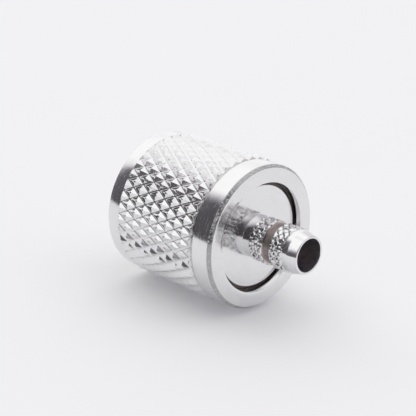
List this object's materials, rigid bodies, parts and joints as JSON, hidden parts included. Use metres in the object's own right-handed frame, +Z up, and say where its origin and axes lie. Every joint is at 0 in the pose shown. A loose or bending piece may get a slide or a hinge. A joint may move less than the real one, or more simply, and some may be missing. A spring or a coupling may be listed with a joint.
{
  "type": "coaxial uhf plug",
  "caption": "Coaxial cable plug: diamond-knurled coupling nut turning on a turned body with a knurled crimp stem and a hollow centre pin.",
  "frame": {"origin": "centre of the mating reference plane, the front rim of the body, on the plug's axis", "axes": "+X along the plug's axis, out of the crimp stem towards the cable; the centre pin points to -X; +Z up with the plug lying on its nut"},
  "size_m": [0.0289, 0.0188, 0.0188],
  "materials": {
    "nut_metal": "brass, nickel plated: diamond knurl between finely turned bands",
    "body_metal": "brass, nickel plated: bright turned faces, knurled crimp stem",
    "insulator_white": "machined white fluoropolymer, waxy",
    "contact_metal": "brass, thin gold plating, smooth",
    "ring_metal": "phosphor bronze, stamped, dull"
  },
  "bodies": {
    "body": {"body": "body_metal", "insulator": "insulator_white", "centre_contact": "contact_metal", "snap_ring": "ring_metal"},
    "coupling_nut": {"coupling_nut": "nut_metal"}
  },
  "joints": [
    {"name": "coupling_nut_spin", "type": "hinge", "parent": "body", "child": "coupling_nut", "pos_m": [0, 0, 0], "axis": [1, 0, 0], "continuous": true}
  ]
}
